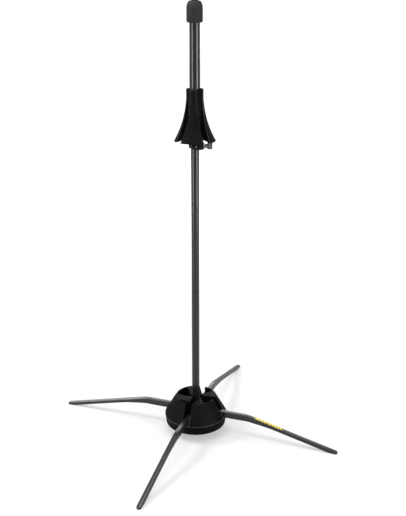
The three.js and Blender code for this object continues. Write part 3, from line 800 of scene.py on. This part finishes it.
# %% Bell support
def bell_support():
    bottom, top, lip, core = SUPPORT["bottom"], SUPPORT["top"], SUPPORT["lip"], SUPPORT["core_r"]
    levels = [(bottom - 3, support_radius(bottom) + 0.6)]
    for i in range(LEVELS + 1):
        z = bottom + (top - lip - bottom) * i / LEVELS
        levels.append((z, support_radius(z)))
    for degrees in (30, 60, 90):
        angle = math.radians(degrees)
        levels.append((top - lip + lip * math.sin(angle), support_radius(top) - lip + lip * math.cos(angle)))
    cone = lofted([support_loop(z, radius) for z, radius in levels])
    cuts = [rod(SUPPORT["bore"], bottom - 9, top + 9, 96)]
    cuts.append(turned([
        (0, bottom - 6), (36, bottom - 6), (36, bottom), (31, bottom), (18, bottom + 2), (core, bottom + 2.3),
        (core, bottom), (0, bottom),
    ], 96, closed=False))
    for k in range(4):
        rows = []
        for i in range(HOLLOW_LEVELS + 1):
            z = bottom - 8 + (SUPPORT["hollow_top"] - bottom + 8) * i / HOLLOW_LEVELS
            radius = support_radius(max(z, bottom)) - SUPPORT["wall"]
            groove = SUPPORT["groove"] + SUPPORT["wall"]
            corners = lobe_corners(radius, SUPPORT["hollow_r"], groove, 0.8, 8)
            rows.append([(x, y, z) for x, y in rounded(corners, 3)])
        cuts.append(moved(lofted(rows), about_z(90 * k)))
    # The exact solver loses this skin when the bore is cut, so the piece uses the manifold solver.
    return moved(eased(carved(cone, cuts, solver="MANIFOLD"), 0.35, 50), about_z(UPPER_TURN))


# The lobes' eased edges take the paler finish, a painted highlight.
piece("bell_support_cone", bell_support(), "upper_stem", flock, ["bell_support"], sharp=50,
      edge_highlight=flock_edge_highlight)

# %% [markdown]
# ## Tip
# A soft rubber barrel covers the tube's end, with a plug in its mouth. A subdivided cylinder would give a
# soft shape, but not one of a stated size, so both are turned. The barrel's shoulder is a long curve, so
# its outline is an arc sampled in small steps rather than a rounded corner.

# %% Tip cap and plug
CAP = {"bottom": 675.4, "top": 706.4, "radius": 12.1, "mouth": 5.6, "edge": 3.0, "shoulder": 11,
       "crown_r": 6.6, "bore": 8.3, "bore_top": 697.3}


def tip_cap():
    edge, low, radius = CAP["edge"], CAP["bottom"], CAP["radius"]
    crown, shoulder, top = CAP["crown_r"], CAP["shoulder"], CAP["top"]
    profile = [(CAP["bore"], low + 0.3), (8.7, low)]
    for i in range(13):
        angle = math.pi / 2 * i / 12
        profile.append((radius - edge + edge * math.sin(angle), low + edge - edge * math.cos(angle)))
    for i in range(17):
        angle = math.radians(80) * i / 16
        reach = crown + (radius - crown) * math.cos(angle)
        profile.append((reach, top - shoulder + shoulder * math.sin(angle)))
    profile += [(6.4, top), (CAP["mouth"] + 0.4, top), (CAP["mouth"], top - 0.4),
                (CAP["mouth"], CAP["bore_top"]), (CAP["bore"], CAP["bore_top"])]
    return turned(profile, 96)


def tip_plug():
    profile = [(0, 681), (6.05, 681), (6.85, 682.5), (6.85, 696.5), (5.3, 696.5), (5.3, 707.1), (5.1, 707.6),
               (4.6, 708), (3.6, 707.9), (2.4, 707.2), (1.2, 706.8), (0, 706.7)]
    return turned(profile, 64, closed=False)


piece("tip_cap_rubber", tip_cap(), "upper_stem", rubber, ["tip_cap"])
piece("tip_plug_moulding", tip_plug(), "upper_stem", clamp_plastic, ["tip_plug"])

# %% [markdown]
# ## Hardware
# Bolts, nuts, washers, bushes and glides sit inside the stand and show only through its slots and from
# below. They could be modelled again more finely, but their shapes in the frame are already right at the
# size they are seen, so they keep them and only get a finish.

# %% Hardware finishes
HARDWARE = {
    "stem_plug": zinc, "stem_bolt": zinc, "stem_washer": zinc, "pivot_bolt": zinc, "pivot_nut": zinc,
    "leg_bush": zinc, "hub_screw": zinc, "clamp_nut": zinc, "clamp_washer": zinc,
    "friction_washer": nylon, "glide_plug": nylon, "clamp_bush": black_nylon,
}
for name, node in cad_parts.items():
    for start, material in HARDWARE.items():
        if name.startswith(start):
            node.data.materials.clear()
            node.data.materials.append(material)
print("hardware pieces:", sum(not node.hide_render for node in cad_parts.values()))

# %% [markdown]
# ## Floor and light
# The stand stands on a plain pale floor under soft studio light. A sky picture could light it, but panels
# can be placed one by one for what each has to do. A large overhead panel gives the even light, and a
# smaller one on the left gives the faint shadows. Two tall panels stand on the floor on either side of the
# camera, and they are what the round tubes reflect as a pair of pale bands. A wide panel behind the stand
# puts a sheen on the faces that look up. The floor is matt near the stand and glows further out, so that
# its rim is lost in the white surroundings. That glow and the bright white world are seen by the camera
# only, and the stand is lit by a dimmer one.

# %% Floor and light
CAMERA_SIDE = math.radians(-69.7)  # compass direction from the stand to the camera
FLOOR = {"radius": 2.4, "grey": 0.42, "near_glow": 0.4, "glow_start": 0.45, "glow_full": 1.1}
OVERHEAD = {"place": (0, 0, 2.4), "size": 1.8, "power": 36}
KEY = {"place": (-1.7, -0.3, 1.7), "size": 0.45, "power": 26}
SIDE = {"away": 1.5, "turn": 54, "height": 0.75, "size": (0.42, 1.5), "left_power": 13, "right_power": 17}
BACK = {"away": 1.8, "height": 0.85, "size": (2.2, 0.9), "power": 14}
WORLD = {"seen": 1.05, "fill": 0.3}


def panel(name, place, target, size, power):
    data = bpy.data.lights.new(name, "AREA")
    data.shape = "RECTANGLE"
    data.size, data.size_y = size
    data.energy = power
    made = bpy.data.objects.new(name, data)
    made.location = place
    made.rotation_mode = "QUATERNION"
    made.rotation_quaternion = (Vector(target) - Vector(place)).to_track_quat("-Z", "Y")
    made.visible_camera = False
    bpy.context.scene.collection.objects.link(made)
    return made


def floor_finish():
    """Matt grey with a faint glow near the stand, where it takes shadows, and a white glow further out."""
    material = bpy.data.materials.new("floor")
    material.use_nodes = True
    nodes, links = material.node_tree.nodes, material.node_tree.links
    surface = nodes["Principled BSDF"]
    surface.inputs["Base Color"].default_value = (FLOOR["grey"], FLOOR["grey"], FLOOR["grey"], 1)
    surface.inputs["Roughness"].default_value = 0.9
    surface.inputs["Specular IOR Level"].default_value = 0.1
    place = nodes.new("ShaderNodeTexCoord")
    distance = nodes.new("ShaderNodeVectorMath")
    distance.operation = "LENGTH"
    links.new(place.outputs["Object"], distance.inputs[0])
    glow = nodes.new("ShaderNodeMapRange")
    glow.interpolation_type = "SMOOTHSTEP"
    glow.inputs["From Min"].default_value = FLOOR["glow_start"]
    glow.inputs["From Max"].default_value = FLOOR["glow_full"]
    glow.inputs["To Min"].default_value = FLOOR["near_glow"]
    links.new(distance.outputs["Value"], glow.inputs["Value"])
    rays = nodes.new("ShaderNodeLightPath")
    seen = nodes.new("ShaderNodeMath")
    seen.operation = "MULTIPLY"
    links.new(glow.outputs["Result"], seen.inputs[0])
    links.new(rays.outputs["Is Camera Ray"], seen.inputs[1])
    surface.inputs["Emission Color"].default_value = (1, 1, 1, 1)
    links.new(seen.outputs["Value"], surface.inputs["Emission Strength"])
    return material


def floor_disc():
    bm = bmesh.new()
    bmesh.ops.create_circle(bm, cap_ends=True, radius=FLOOR["radius"], segments=128)
    made = as_object(bm, "floor")
    made.data.materials.append(floor_finish())


def round_the_stand(angle, away, height):
    return away * math.cos(angle), away * math.sin(angle), height


floor_disc()
panel("overhead", OVERHEAD["place"], (0, 0, 0), (OVERHEAD["size"], OVERHEAD["size"]), OVERHEAD["power"])
panel("key", KEY["place"], (0, 0, 0.1), (KEY["size"], KEY["size"]), KEY["power"])
for name, turn, power in (
    ("left_panel", -SIDE["turn"], SIDE["left_power"]),
    ("right_panel", SIDE["turn"], SIDE["right_power"]),
):
    place = round_the_stand(CAMERA_SIDE + math.radians(turn), SIDE["away"], SIDE["height"])
    panel(name, place, (0, 0, SIDE["height"]), SIDE["size"], power)
place = round_the_stand(CAMERA_SIDE + math.pi, BACK["away"], BACK["height"])
panel("back_panel", place, (0, 0, 0.3), BACK["size"], BACK["power"])

# %% World
world = bpy.data.worlds.new("studio")
world.use_nodes = True
nodes, links = world.node_tree.nodes, world.node_tree.links
seen = nodes["Background"]
seen.inputs["Color"].default_value = (1, 1, 1, 1)
seen.inputs["Strength"].default_value = WORLD["seen"]
fill = nodes.new("ShaderNodeBackground")
fill.inputs["Color"].default_value = (0.98, 0.99, 1, 1)
fill.inputs["Strength"].default_value = WORLD["fill"]
path = nodes.new("ShaderNodeLightPath")
either = nodes.new("ShaderNodeMixShader")
links.new(path.outputs["Is Camera Ray"], either.inputs["Fac"])
links.new(fill.outputs["Background"], either.inputs[1])
links.new(seen.outputs["Background"], either.inputs[2])
links.new(either.outputs["Shader"], nodes["World Output"].inputs["Surface"])
bpy.context.scene.world = world
bpy.context.scene.view_settings.view_transform = "Standard"
print("view:", bpy.context.scene.view_settings.view_transform)
